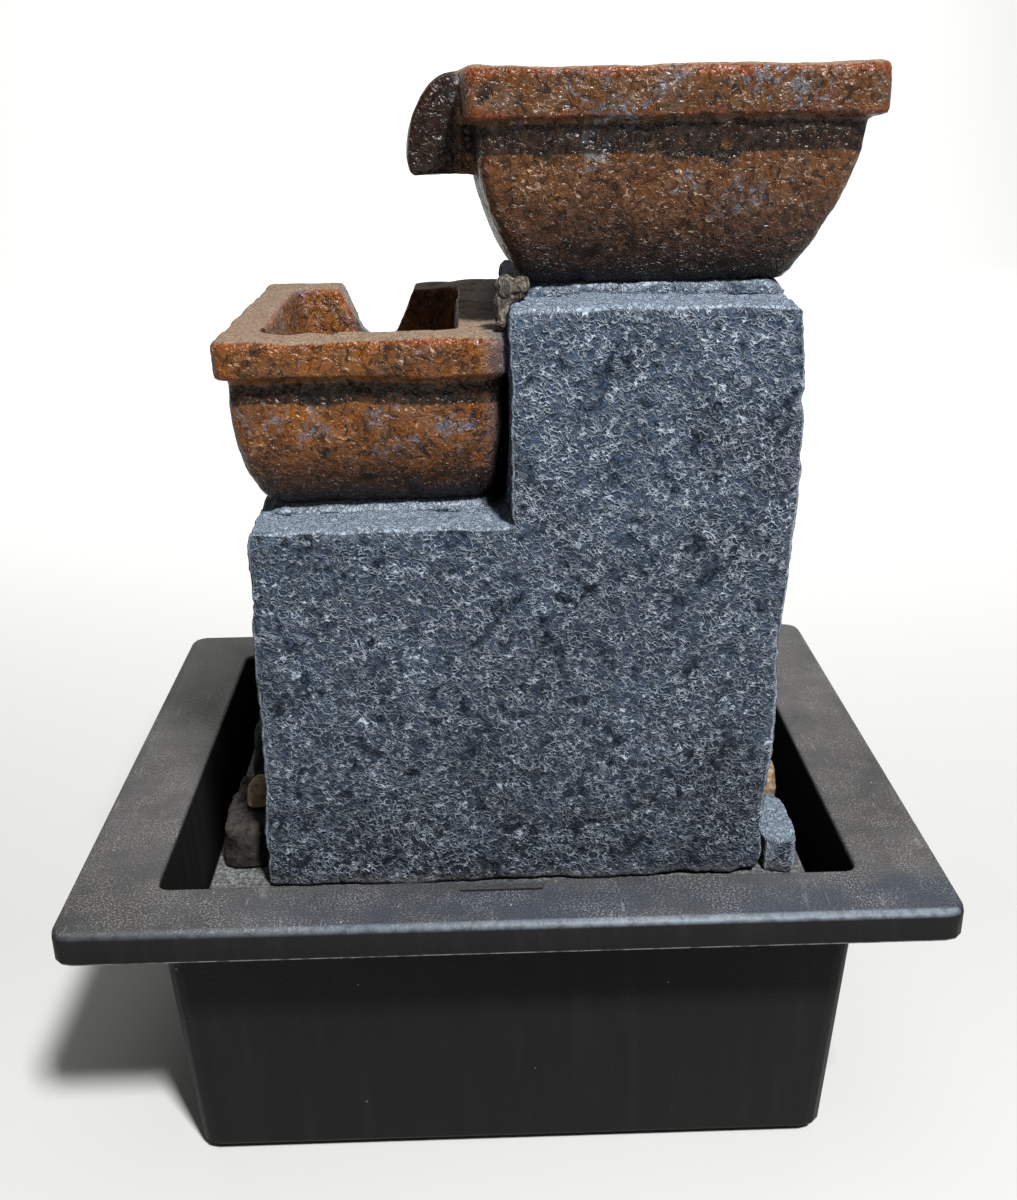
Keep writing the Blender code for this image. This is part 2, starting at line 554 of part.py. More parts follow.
def make_pump_front():
    """Volute with its upright nozzle, the slotted intake cover and the flow dial."""
    axis = (PUMP_Y, SHAFT_Z)
    low, high = VOLUTE_X
    volute = rod("volute", VOLUTE_RADIUS, (low, *axis), (high, *axis), PUMP_PLASTIC, segments=40)
    chamber = rod("volute_chamber", VOLUTE_RADIUS - 2.2, (low - 5, *axis), (high - 2.4, *axis), segments=40)
    nozzle = rod("volute_nozzle", NOZZLE_RADIUS, (NOZZLE_X, PUMP_Y, SHAFT_Z + VOLUTE_RADIUS - 1.5),
                 (NOZZLE_X, PUMP_Y, NOZZLE_TOP), segments=28)
    bore = rod("nozzle_bore", NOZZLE_RADIUS - 1.4, (NOZZLE_X, PUMP_Y, SHAFT_Z + 10),
               (NOZZLE_X, PUMP_Y, NOZZLE_TOP + 5), segments=28)
    intake = rod("volute_intake", 7.0, (high - 5, *axis), (high + 5, *axis))
    boss = rod("bush_boss", 3.9, (high - 4.1, *axis), (high, *axis), segments=24)
    spider = box("bush_spider", (high - 2.2, high - 0.1), (PUMP_Y - 9, PUMP_Y + 9),
                 (SHAFT_Z - 1.2, SHAFT_Z + 1.2))
    pocket = rod("bush_pocket", 2.8, (high - 6, *axis), (high - 0.9, *axis), segments=20)
    join(volute, nozzle)
    cut(volute, chamber, intake)
    join(volute, boss, spider)
    cut(volute, pocket, bore)

    low, high = COVER_X
    cover = box("intake_cover", COVER_X, (PUMP_Y - COVER_HALF, PUMP_Y + COVER_HALF),
                (SHAFT_Z - COVER_HALF, SHAFT_Z + COVER_HALF), PUMP_PLASTIC)
    bevel(cover, 1.5)
    wall = 1.6
    room = box("cover_room", (low - 5, high - wall), (PUMP_Y - COVER_HALF + wall, PUMP_Y + COVER_HALF - wall),
               (SHAFT_Z - COVER_HALF + wall, SHAFT_Z + COVER_HALF - wall))
    cut(cover, room)
    for i in range(4):
        side = PUMP_Y + (-12.5, -8.5, 8.5, 12.5)[i]
        slot = box(f"cover_slot_{i}", (high - 5, high + 5), (side - 1.1, side + 1.1),
                   (SHAFT_Z - 12, SHAFT_Z + 12))
        cut(cover, slot)
    pin = 2.0
    hole = rod("dial_hole", pin + GAP, (high - 5, *axis), (high + 5, *axis), segments=24)
    port = box("cover_port", (high - 5, high + 5), (PUMP_Y - 2, PUMP_Y + 2), (SHAFT_Z - 12, SHAFT_Z - 6))
    cut(cover, hole, port)
    dial = rod("flow_dial", 6.0, (high + GAP, *axis), (high + 2.0, *axis), DIAL_PLASTIC, segments=28)
    stub = rod("dial_pin", pin, (high - wall - 0.5, *axis), (high + 1, *axis), segments=24)
    grip = box("dial_grip", (high + 1.5, high + 3.6), (PUMP_Y - 0.8, PUMP_Y + 0.8),
               (SHAFT_Z - 5.2, SHAFT_Z + 5.2))
    shutter = box("dial_shutter", (high + GAP, high + 2.0), (PUMP_Y - 3, PUMP_Y + 3),
                  (SHAFT_Z - 12.5, SHAFT_Z - 4))
    join(dial, stub, grip, shutter)


make_basin()
make_deck()
make_pillar()
make_lower_bowl()
make_upper_bowl()
make_upper_bed()
make_stones()
make_hose()
make_motor()
make_rotor()
make_pump_front()
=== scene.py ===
import math

import bmesh
import bpy
import numpy as np
from mathutils import Matrix, Vector, noise
from mathutils.bvhtree import BVHTree


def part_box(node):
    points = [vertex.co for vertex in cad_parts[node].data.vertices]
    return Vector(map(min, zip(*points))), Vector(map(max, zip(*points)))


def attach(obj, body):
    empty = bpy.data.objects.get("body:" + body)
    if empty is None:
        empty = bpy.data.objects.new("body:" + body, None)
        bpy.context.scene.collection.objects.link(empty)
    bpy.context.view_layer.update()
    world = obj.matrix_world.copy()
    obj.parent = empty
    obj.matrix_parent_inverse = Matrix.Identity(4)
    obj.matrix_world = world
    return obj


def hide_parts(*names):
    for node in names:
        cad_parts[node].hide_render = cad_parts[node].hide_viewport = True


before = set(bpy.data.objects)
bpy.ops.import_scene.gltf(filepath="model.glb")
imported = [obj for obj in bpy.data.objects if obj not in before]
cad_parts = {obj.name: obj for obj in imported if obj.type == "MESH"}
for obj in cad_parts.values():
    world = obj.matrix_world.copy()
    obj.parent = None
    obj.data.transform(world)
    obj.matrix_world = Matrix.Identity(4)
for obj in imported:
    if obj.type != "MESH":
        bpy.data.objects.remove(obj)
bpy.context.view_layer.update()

MM = 0.001
scene = bpy.context.scene


# ---- Studio ------------------------------------------------------------------------------
# A hand-held camera level with the upper bowl's rim, looking down at the plain side.
# A pale paper sweep and four soft boxes stand in for a small product studio.
CAMERA_PLACE = Vector((-4.9, -327.8, 261.4)) * MM
CAMERA_DOWN, CAMERA_RIGHT, CAMERA_ROLL = (math.radians(a) for a in (21.9, 1.27, -0.87))
SENSOR, LENS = 36.0, 38.62

lens = bpy.data.cameras.new("studio_camera")
lens.sensor_width = SENSOR
lens.lens = LENS
lens.clip_start = 0.01
camera = bpy.data.objects.new("studio_camera", lens)
scene.collection.objects.link(camera)
level = Matrix.Rotation(math.pi / 2, 4, "X")
camera.matrix_world = (Matrix.Translation(CAMERA_PLACE) @ Matrix.Rotation(-CAMERA_RIGHT, 4, "Z")
                       @ Matrix.Rotation(-CAMERA_DOWN, 4, "X") @ level
                       @ Matrix.Rotation(CAMERA_ROLL, 4, "Z"))
scene.camera = camera
scene.view_settings.view_transform = "Standard"


def linear(hex_colour):
    """An sRGB hex colour as the linear RGBA that the shaders work in."""
    channels = [int(hex_colour[i:i + 2], 16) / 255 for i in (1, 3, 5)]
    return (*(c / 12.92 if c <= 0.04045 else ((c + 0.055) / 1.055) ** 2.4 for c in channels), 1.0)


def add_node(tree, kind, settings=None, links=None):
    """Adds a node: settings are its properties, links feed its sockets from a value or an output."""
    made = tree.nodes.new(kind)
    for name, value in (settings or {}).items():
        setattr(made, name, value)
    for socket, source in (links or {}).items():
        target = made.inputs[socket]
        if isinstance(source, bpy.types.NodeSocket):
            tree.links.new(source, target)
        else:
            target.default_value = source
    return made


def new_material(name, hex_colour, roughness, ior=1.5, metallic=0.0):
    """A Principled material in one finish, with its node tree and shader to build on."""
    made = bpy.data.materials.new(name)
    made.use_nodes = True
    shader = made.node_tree.nodes["Principled BSDF"]
    shader.inputs["Base Color"].default_value = linear(hex_colour)
    shader.inputs["Roughness"].default_value = roughness
    shader.inputs["IOR"].default_value = ior
    shader.inputs["Metallic"].default_value = metallic
    return made, made.node_tree, shader


SOFT_BOXES = (("key_box", (380, -900, 1400), 170, 58.0), ("fill_box", (-700, -700, 300), 600, 0.35),
              ("top_box", (0, -350, 1500), 700, 2.5), ("wall_box", (0, 700, 1500), 900, 95.0))
AIM = Vector((0, -10, 120)) * MM
WALL_AIM = Vector((0, 2500, 700)) * MM
for name, place, width, watts in SOFT_BOXES:
    light = bpy.data.lights.new(name, "AREA")
    light.size = width * MM
    light.energy = watts
    lamp = bpy.data.objects.new(name, light)
    scene.collection.objects.link(lamp)
    lamp.location = Vector(place) * MM
    target = WALL_AIM if name == "wall_box" else AIM
    lamp.rotation_euler = (target - lamp.location).to_track_quat("-Z", "Y").to_euler()

world = bpy.data.worlds.new("studio_air")
world.use_nodes = True
world.node_tree.nodes["Background"].inputs["Color"].default_value = linear("#eceff2")
world.node_tree.nodes["Background"].inputs["Strength"].default_value = 0.05
scene.world = world

# The sweep is one sheet: flat under the fountain, then curved up to a wall behind it.
SWEEP_HALF, SWEEP_NEAR, SWEEP_WALL, SWEEP_BEND, SWEEP_HEIGHT = 2.6, -2.0, 1.6, 0.9, 3.0
bm = bmesh.new()
first = [bm.verts.new((x, SWEEP_NEAR, 0)) for x in (-SWEEP_HALF, SWEEP_HALF)]
edge = bm.edges.new(first)
flat = bmesh.ops.extrude_edge_only(bm, edges=[edge])["geom"]
flat_verts = [g for g in flat if isinstance(g, bmesh.types.BMVert)]
bmesh.ops.translate(bm, verts=flat_verts, vec=(0, SWEEP_WALL - SWEEP_NEAR, 0))
far_edge = [g for g in flat if isinstance(g, bmesh.types.BMEdge)]
bent = bmesh.ops.spin(bm, geom=far_edge, cent=(0, SWEEP_WALL, SWEEP_BEND), axis=(1, 0, 0),
                      angle=math.pi / 2, steps=16)["geom_last"]
last_edge = [g for g in bent if isinstance(g, bmesh.types.BMEdge)]
wall = bmesh.ops.extrude_edge_only(bm, edges=last_edge)["geom"]
bmesh.ops.translate(bm, verts=[g for g in wall if isinstance(g, bmesh.types.BMVert)],
                    vec=(0, 0, SWEEP_HEIGHT))
bmesh.ops.recalc_face_normals(bm, faces=bm.faces)
sweep_mesh = bpy.data.meshes.new("paper_sweep")
bm.to_mesh(sweep_mesh)
bm.free()
sweep_mesh.shade_smooth()
sweep = bpy.data.objects.new("paper_sweep", sweep_mesh)
scene.collection.objects.link(sweep)
paper, _, _ = new_material("pale_paper", "#b2b2b0", 0.9)
sweep_mesh.materials.append(paper)


# ---- Basin -------------------------------------------------------------------------------
# One injection moulding in black ABS with a fine leather grain. Years of dried water and
# dust have greyed what faces up; the tub below the rim has kept its brown-black.
def per_mm(size_mm):
    """A texture's scale for a pattern of this size."""
    return 1.0 / (size_mm * MM)


def patches(tree, at, size_mm, low, high, detail=3.0, bend=0.0):
    """A mask of soft-edged patches of this size, rising where noise goes from low to high."""
    field = add_node(tree, "ShaderNodeTexNoise", links={
        "Vector": at, "Scale": per_mm(size_mm), "Detail": detail, "Roughness": 0.6, "Distortion": bend})
    return add_node(tree, "ShaderNodeMapRange", {"interpolation_type": "SMOOTHSTEP"}, {
        "Value": field.outputs[0], "From Min": low, "From Max": high}).outputs[0]


def specks(tree, at, spacing_mm, size_mm, share):
    """A mask of scattered round specks: one in a cell, in this share of the cells."""
    cells = add_node(tree, "ShaderNodeTexVoronoi", links={"Vector": at, "Scale": per_mm(spacing_mm)})
    near = add_node(tree, "ShaderNodeMath", {"operation": "LESS_THAN"}, {
        0: cells.outputs["Distance"], 1: 0.5 * size_mm / spacing_mm}).outputs[0]
    chance = add_node(tree, "ShaderNodeSeparateColor", links={0: cells.outputs["Color"]}).outputs[0]
    kept = add_node(tree, "ShaderNodeMath", {"operation": "LESS_THAN"}, {0: chance, 1: share}).outputs[0]
    return overlap(tree, near, kept)


def overlap(tree, *masks):
    """Where every mask is present."""
    product = masks[0]
    for mask in masks[1:]:
        product = add_node(tree, "ShaderNodeMath", {"operation": "MULTIPLY"}, {
            0: product, 1: mask}).outputs[0]
    return product


def graded(tree, value, low, high, to_low=0.0, to_high=1.0):
    """A value spread from one range to another, and held at the ends."""
    return add_node(tree, "ShaderNodeMapRange", links={
        "Value": value, "From Min": low, "From Max": high, "To Min": to_low, "To Max": to_high}).outputs[0]


def facing_up(tree, low, high):
    """A mask of what faces up: where the normal's upward part goes from low to high."""
    normal = add_node(tree, "ShaderNodeNewGeometry").outputs["Normal"]
    return graded(tree, add_node(tree, "ShaderNodeSeparateXYZ", links={0: normal}).outputs["Z"], low, high)


def paint_over(tree, colour, *coats):
    """Coats of (mask, hex colour) over a colour, the last one on top."""
    for mask, hex_colour in coats:
        colour = add_node(tree, "ShaderNodeMix", {"data_type": "RGBA"}, {
            "Factor": mask, "A": colour, "B": linear(hex_colour)}).outputs["Result"]
    return colour


def press_in(tree, shader, height, depth_mm):
    """Feeds a height pattern to the shader's normal, this deep."""
    bump = add_node(tree, "ShaderNodeBump", links={
        "Height": height, "Strength": 1.0, "Distance": depth_mm * MM})
    tree.links.new(bump.outputs[0], shader.inputs["Normal"])


def dress(material, *node_names):
    """Gives CAD pieces whose shape is right their real finish."""
    for node_name in node_names:
        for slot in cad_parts[node_name].material_slots:
            slot.material = material


def finish_piece(piece, material, body, node_name):
    """Paints a piece, hangs it on its body and puts it in the place of its CAD node."""
    piece.data.materials.append(material)
    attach(piece, body)
    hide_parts(node_name)


def merged_copy(node_name, piece_name):
    """A copy of a CAD piece with its split points merged, at the origin and unturned."""
    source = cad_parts[node_name]
    bm = bmesh.new()
    bm.from_mesh(source.data)
    bm.transform(source.matrix_world)
    bmesh.ops.remove_doubles(bm, verts=bm.verts, dist=0.00001)
    bmesh.ops.recalc_face_normals(bm, faces=bm.faces)
    mesh = bpy.data.meshes.new(piece_name)
    bm.to_mesh(mesh)
    bm.free()
    piece = bpy.data.objects.new(piece_name, mesh)
    scene.collection.objects.link(piece)
    return piece


def moulded_copy(node_name, piece_name, edge_mm):
    """A merged copy with the small radius that a mould or a punch leaves on every edge."""
    piece = merged_copy(node_name, piece_name)
    bm = bmesh.new()
    bm.from_mesh(piece.data)
    bmesh.ops.dissolve_limit(bm, angle_limit=math.radians(1), verts=bm.verts, edges=bm.edges)
    bm.to_mesh(piece.data)
    bm.free()
    piece.data.shade_smooth()
    radius = piece.modifiers.new("mould_radius", "BEVEL")
    radius.width = edge_mm * MM
    radius.segments = 3
    radius.profile = 0.5
    radius.limit_method = "ANGLE"
    radius.angle_limit = math.radians(32)
    radius.harden_normals = True
    return piece


abs_plastic, tree, shader = new_material("grained_black_abs", "#282525", 0.4)
coord = add_node(tree, "ShaderNodeTexCoord").outputs["Object"]
grain = add_node(tree, "ShaderNodeTexVoronoi", {"feature": "SMOOTH_F1"}, {
    "Vector": coord, "Scale": per_mm(1.1), "Smoothness": 0.6, "Randomness": 1.0}).outputs["Distance"]
where = add_node(tree, "ShaderNodeSeparateXYZ", links={0: coord})
across, away, up = (where.outputs[axis] for axis in "XYZ")
# The rim's flat top is what faces up within its last millimetre.
top = overlap(tree, facing_up(tree, 0.35, 0.95), graded(tree, up, 83.0 * MM, 84.3 * MM))
# The rounded near edge carries a painted highlight, a pale line that grows brighter to the right.
near_edge = graded(tree, away, -82.8 * MM, -83.6 * MM)
to_the_right = graded(tree, across, -95.0 * MM, 20.0 * MM, 0.12, 0.6)
painted_edge_highlight = overlap(tree, facing_up(tree, 0.2, 0.5), near_edge, to_the_right,
                  graded(tree, patches(tree, coord, 2.4, 0.3, 0.6, 4.0), 0, 1, 0.35, 0.8))
settled = patches(tree, coord, 38, 0.3, 0.72, 6.0, 0.6)
dusty = overlap(tree, top, graded(tree, settled, 0, 1, 0.45, 0.95))
blotch = overlap(tree, top, patches(tree, coord, 9, 0.56, 0.72, 5.0, 1.2))
# Finger-wide smears and short scratches, drawn out along two directions.
drawn = add_node(tree, "ShaderNodeMapping", links={
    "Vector": coord, "Rotation": (0, 0, 0.9), "Scale": (1.0, 0.12, 1.0)}).outputs[0]
smear = overlap(tree, top, patches(tree, drawn, 2.2, 0.6, 0.74, 4.0), patches(tree, coord, 22, 0.5, 0.62))
crossed = add_node(tree, "ShaderNodeMapping", links={
    "Vector": coord, "Rotation": (0, 0, 0.35), "Scale": (1.0, 0.08, 1.0)}).outputs[0]
scratch = overlap(tree, top, patches(tree, crossed, 0.9, 0.68, 0.72, 1.0),
                  patches(tree, coord, 16, 0.52, 0.6))
grains = overlap(tree, top, graded(tree, patches(tree, coord, 0.5, 0.5, 0.62, 2.0), 0, 1, 0, 0.5),
                 graded(tree, patches(tree, coord, 11, 0.35, 0.65, 4.0), 0, 1, 0.2, 1.0))
dots = specks(tree, coord, 5.5, 0.55, 0.16)
flecks = overlap(tree, specks(tree, coord, 2.6, 0.45, 0.12), top)
# Water has run down the tub and left faint upright streaks.
streak_at = add_node(tree, "ShaderNodeMapping", links={
    "Vector": coord, "Scale": (1.0, 1.0, 0.08)}).outputs[0]
runs = graded(tree, patches(tree, streak_at, 5, 0.45, 0.75, 4.0), 0, 1, 0.0, 0.35)
# The front is scuffed and bluer, and the skirt's lower edge carries a thin pale line of lime.
cool = overlap(tree, top, graded(tree, away, -66.0 * MM, -74.0 * MM),
               graded(tree, across, -85.0 * MM, -30.0 * MM),
               graded(tree, patches(tree, coord, 30, 0.3, 0.6, 3.0), 0, 1, 0.5, 0.9))
lower_lip = overlap(tree, graded(tree, up, 77.1 * MM, 76.8 * MM),
                    graded(tree, away, -83.8 * MM, -84.4 * MM),
                    graded(tree, patches(tree, coord, 3, 0.35, 0.6, 3.0), 0, 1, 0.2, 0.8))
# What faces up has been polished a little by the dust and the cloth; the tub is dull.
tree.links.new(graded(tree, top, 0, 1, 0.03, 0.2), shader.inputs["Specular IOR Level"])
body = paint_over(tree, linear("#1b1a1b"),
                  (runs, "#262322"),
                  (lower_lip, "#8c9298"),
                  (dusty, "#484747"),
                  (cool, "#2d333c"),
                  (blotch, "#333132"),
                  (grains, "#8b8985"),
                  (graded(tree, smear, 0, 1, 0, 0.45), "#8a8580"),
                  (graded(tree, scratch, 0, 1, 0, 0.18), "#a3a2a0"),
                  (graded(tree, dots, 0, 1, 0, 0.55), "#8c857e"),
                  (graded(tree, flecks, 0, 1, 0, 0.7), "#a8a19a"),
                  (painted_edge_highlight, "#7c8792"))
tree.links.new(body, shader.inputs["Base Color"])
tree.links.new(graded(tree, dusty, 0, 1, 0.38, 0.5), shader.inputs["Roughness"])
fine = add_node(tree, "ShaderNodeTexNoise", links={
    "Vector": coord, "Scale": per_mm(0.6), "Detail": 2.0}).outputs[0]
height = add_node(tree, "ShaderNodeMath", {"operation": "ADD"}, {0: grain, 1: fine}).outputs[0]
press_in(tree, shader, height, 0.07)
finish_piece(moulded_copy("basin", "basin_moulding", 0.5), abs_plastic, "basin_set", "basin")


# ---- Feet --------------------------------------------------------------------------------
# Four die-cut pads of black foam rubber, stuck under the tub's corners.
foam, tree, shader = new_material("black_foam_rubber", "#161616", 0.9)
coord = add_node(tree, "ShaderNodeTexCoord").outputs["Object"]
pores = add_node(tree, "ShaderNodeTexVoronoi", links={
    "Vector": coord, "Scale": per_mm(0.5)}).outputs["Distance"]
tree.links.new(paint_over(tree, linear("#121212"), (patches(tree, coord, 3, 0.4, 0.7), "#242322")),
               shader.inputs["Base Color"])
press_in(tree, shader, pores, 0.2)
dress(foam, "foot_pad_1", "foot_pad_2", "foot_pad_3", "foot_pad_4")


# ---- Pump housing, cover and dial --------------------------------------------------------
# Spark-eroded mouldings in black ABS: motor housing, volute and the grilled intake cover.
# The flow dial is the same plastic in grey-blue. Hard water has left a thin bloom.
def limed_plastic(name, hex_colour, bloom_hex):
    """Matt pump plastic with an eroded grain and a thin bloom of lime."""
    made, tree, shader = new_material(name, hex_colour, 0.5)
    coord = add_node(tree, "ShaderNodeTexCoord").outputs["Object"]
    bloom = graded(tree, patches(tree, coord, 7, 0.45, 0.75, 6.0, 0.8), 0, 1, 0, 0.5)
    drops = graded(tree, patches(tree, coord, 1.6, 0.66, 0.72), 0, 1, 0, 0.5)
    tree.links.new(paint_over(tree, linear(hex_colour), (bloom, bloom_hex), (drops, "#8f8c84")),
                   shader.inputs["Base Color"])
    tree.links.new(graded(tree, bloom, 0, 0.5, 0.42, 0.75), shader.inputs["Roughness"])
    eroded = add_node(tree, "ShaderNodeTexNoise", links={
        "Vector": coord, "Scale": per_mm(0.45), "Detail": 3.0}).outputs[0]
    press_in(tree, shader, eroded, 0.05)
    return made


pump_plastic = limed_plastic("eroded_black_pump_plastic", "#17181a", "#45464a")
dial_plastic = limed_plastic("grey_blue_dial_plastic", "#33536b", "#71828c")
finish_piece(moulded_copy("motor_housing", "motor_housing_moulding", 0.4), pump_plastic, "basin_set",
             "motor_housing")
finish_piece(moulded_copy("volute", "volute_moulding", 0.3), pump_plastic, "basin_set",
             "volute")
finish_piece(moulded_copy("intake_cover", "intake_cover_moulding", 0.3), pump_plastic, "intake_cover",
             "intake_cover")
finish_piece(moulded_copy("impeller", "impeller_moulding", 0.15), pump_plastic, "rotor",
             "impeller")
finish_piece(moulded_copy("flow_dial", "flow_dial_moulding", 0.25), dial_plastic, "flow_dial", "flow_dial")


# ---- Pump motor --------------------------------------------------------------------------
# Stacked steel laminations with an enamelled copper coil, sealed under black epoxy.
# A ferrite magnet turns on a polished ceramic shaft between two rubber bushes.
resin, tree, shader = new_material("black_potting_epoxy", "#0c0d0f", 0.16, 1.55)
coord = add_node(tree, "ShaderNodeTexCoord").outputs["Object"]
swirl = patches(tree, coord, 6, 0.35, 0.7, 3.0, 1.0)
tree.links.new(paint_over(tree, linear("#0b0c0e"), (swirl, "#15171a")), shader.inputs["Base Color"])
tree.links.new(graded(tree, swirl, 0, 1, 0.12, 0.3), shader.inputs["Roughness"])
press_in(tree, shader, patches(tree, coord, 4, 0.3, 0.7, 1.0), 0.15)
dress(resin, "potting_cap")

sheet_steel, tree, shader = new_material("stacked_steel_laminations", "#85888b", 0.38, 1.5, 1.0)
coord = add_node(tree, "ShaderNodeTexCoord").outputs["Object"]
sheets = add_node(tree, "ShaderNodeTexWave", {"bands_direction": "X"}, {
    "Vector": coord, "Scale": per_mm(9.0), "Distortion": 0.2}).outputs["Fac"]
varnish = patches(tree, coord, 5, 0.5, 0.72)
between_sheets = overlap(tree, sheets, graded(tree, varnish, 0, 1, 0.5, 0.9))
tree.links.new(paint_over(tree, linear("#85888b"), (between_sheets, "#54504a")), shader.inputs["Base Color"])
press_in(tree, shader, sheets, 0.1)
dress(sheet_steel, "stator_core")

copper, tree, shader = new_material("enamelled_copper_wire", "#a35a2c", 0.28, 1.5, 1.0)
coord = add_node(tree, "ShaderNodeTexCoord").outputs["Object"]
turns = add_node(tree, "ShaderNodeTexWave", {"bands_direction": "X", "wave_profile": "SIN"}, {
    "Vector": coord, "Scale": per_mm(7.0), "Distortion": 0.6, "Detail": 1.0}).outputs["Fac"]
tree.links.new(paint_over(tree, linear("#a35a2c"), (graded(tree, turns, 0.1, 0.4, 0.75, 0), "#4a2412")),
               shader.inputs["Base Color"])
press_in(tree, shader, turns, 0.18)
dress(copper, "stator_winding")

ferrite, tree, shader = new_material("sintered_ferrite", "#2b2a2c", 0.45, 1.9)
coord = add_node(tree, "ShaderNodeTexCoord").outputs["Object"]
tree.links.new(paint_over(tree, linear("#29282a"), (patches(tree, coord, 1.2, 0.45, 0.65), "#3b3a3c")),
               shader.inputs["Base Color"])
press_in(tree, shader, patches(tree, coord, 0.5, 0.3, 0.7), 0.03)
dress(ferrite, "rotor_magnet")

ceramic, tree, shader = new_material("polished_alumina", "#e6e1d5", 0.18, 1.76)
coord = add_node(tree, "ShaderNodeTexCoord").outputs["Object"]
tree.links.new(paint_over(tree, linear("#e6e1d5"), (patches(tree, coord, 1.5, 0.5, 0.8), "#cfc8b8")),
               shader.inputs["Base Color"])
dress(ceramic, "rotor_shaft")


# ---- Rubber and silicone -----------------------------------------------------------------
# Pressed nitrile for the shaft bushes, the cord gland and the hose grommet; clear silicone
# for the four suction cups, the riser hose and its outlet nozzle, yellowed by the water.
nitrile, tree, shader = new_material("pressed_nitrile_rubber", "#1a1a1b", 0.62, 1.52)
coord = add_node(tree, "ShaderNodeTexCoord").outputs["Object"]
chalk = graded(tree, patches(tree, coord, 2.4, 0.45, 0.72, 5.0), 0, 1, 0, 0.5)
tree.links.new(paint_over(tree, linear("#19191a"), (chalk, "#4a4a48")), shader.inputs["Base Color"])
tree.links.new(graded(tree, chalk, 0, 0.5, 0.55, 0.85), shader.inputs["Roughness"])
press_in(tree, shader, patches(tree, coord, 0.6, 0.3, 0.7), 0.05)
dress(nitrile, "rear_bush", "front_bush", "cord_gland", "outlet_grommet")

silicone, tree, shader = new_material("clear_silicone", "#d6d8d2", 0.28, 1.41)
coord = add_node(tree, "ShaderNodeTexCoord").outputs["Object"]
film = graded(tree, patches(tree, coord, 6, 0.4, 0.75, 4.0), 0, 1, 0, 0.7)
tree.links.new(paint_over(tree, linear("#dcdedb"), (film, "#b9b193")), shader.inputs["Base Color"])
tree.links.new(graded(tree, film, 0, 0.7, 0.2, 0.5), shader.inputs["Roughness"])
shader.inputs["Transmission Weight"].default_value = 0.45
press_in(tree, shader, patches(tree, coord, 2.0, 0.3, 0.7), 0.06)
dress(silicone, "suction_cup_1", "suction_cup_2", "suction_cup_3", "suction_cup_4", "riser_hose",
      "outlet_nozzle")


# ---- Deck --------------------------------------------------------------------------------
# The tray that stands in the basin on four legs and carries the stones: the same black ABS.
# Water runs over it all day, so lime and grit have dried into a grey crust.
deck_plastic, tree, shader = new_material("limed_black_abs", "#4c4b49", 0.8)
coord = add_node(tree, "ShaderNodeTexCoord").outputs["Object"]
grit = patches(tree, coord, 0.9, 0.36, 0.66, 3.0)
crusted = graded(tree, overlap(tree, facing_up(tree, 0.4, 0.95), patches(tree, coord, 13, 0.2, 0.6, 5.0)),
                 0, 1, 0.1, 0.9)
pale = overlap(tree, grit, crusted)
# The strip in front of the pillar's foot is painted dark: painted shade at the foot.
away = add_node(tree, "ShaderNodeSeparateXYZ", links={0: coord}).outputs["Y"]
painted_foot_shade = graded(tree, away, -61.0 * MM, -63.5 * MM, 0, 0.85)
tree.links.new(paint_over(tree, linear("#1c1c1d"),
                          (crusted, "#383838"),
                          (pale, "#6c6d6e"),
                          (painted_foot_shade, "#1d1f22"),
                          (specks(tree, coord, 1.8, 0.7, 0.18), "#1f1e1d")), shader.inputs["Base Color"])
press_in(tree, shader, grit, 0.22)
finish_piece(moulded_copy("deck", "deck_moulding", 0.4), deck_plastic, "deck_set", "deck")


# ---- Slate pillar ------------------------------------------------------------------------
# Hollow casting in filled resin from a mould taken off crumpled slate. Painted blue-black,
# then dry-brushed: a nearly dry pale brush that only catches the crests and the edges.
def even_skin(piece, grain_mm):
    """Gives a closed piece an even, fine skin, which takes a cast surface."""
    rough = piece.data
    skin = piece.modifiers.new("even_skin", "REMESH")
    skin.mode = "VOXEL"
    skin.voxel_size = grain_mm * MM
    graph = bpy.context.evaluated_depsgraph_get()
    piece.data = bpy.data.meshes.new_from_object(piece.evaluated_get(graph))
    piece.modifiers.clear()
    bpy.data.meshes.remove(rough)
    piece.data.name = piece.name
    return piece


def cast_copy(node_name, piece_name, grain_mm):
    """A closed copy of a CAD solid in an even skin."""
    return even_skin(merged_copy(node_name, piece_name), grain_mm)


def read_points(mesh):
    """The mesh's points and their normals, as arrays in millimetres."""
    count = len(mesh.vertices)
    points = np.empty(count * 3)
    normals = np.empty(count * 3)
    mesh.vertices.foreach_get("co", points)
    mesh.vertex_normals.foreach_get("vector", normals)
    return points.reshape(-1, 3) / MM, normals.reshape(-1, 3)


def write_points(mesh, points):
    mesh.vertices.foreach_set("co", (points * MM).ravel())
    mesh.update()


def relax(mesh, values, rounds):
    """Evens values out over each point's neighbours, a little further with each round."""
    ends = np.empty(len(mesh.edges) * 2, dtype=np.int64)
    mesh.edges.foreach_get("vertices", ends)
    a, b = ends[0::2], ends[1::2]
    count = np.bincount(ends, minlength=len(values)).astype(float)
    if values.ndim > 1:
        count = count[:, None]
    for _ in range(rounds):
        total = np.zeros_like(values)
        np.add.at(total, a, values[b])
        np.add.at(total, b, values[a])
        values = 0.5 * values + 0.5 * total / count
    return values


# Bent noise starts from the clock unless it is given a start of its own.
noise.seed_set(7)


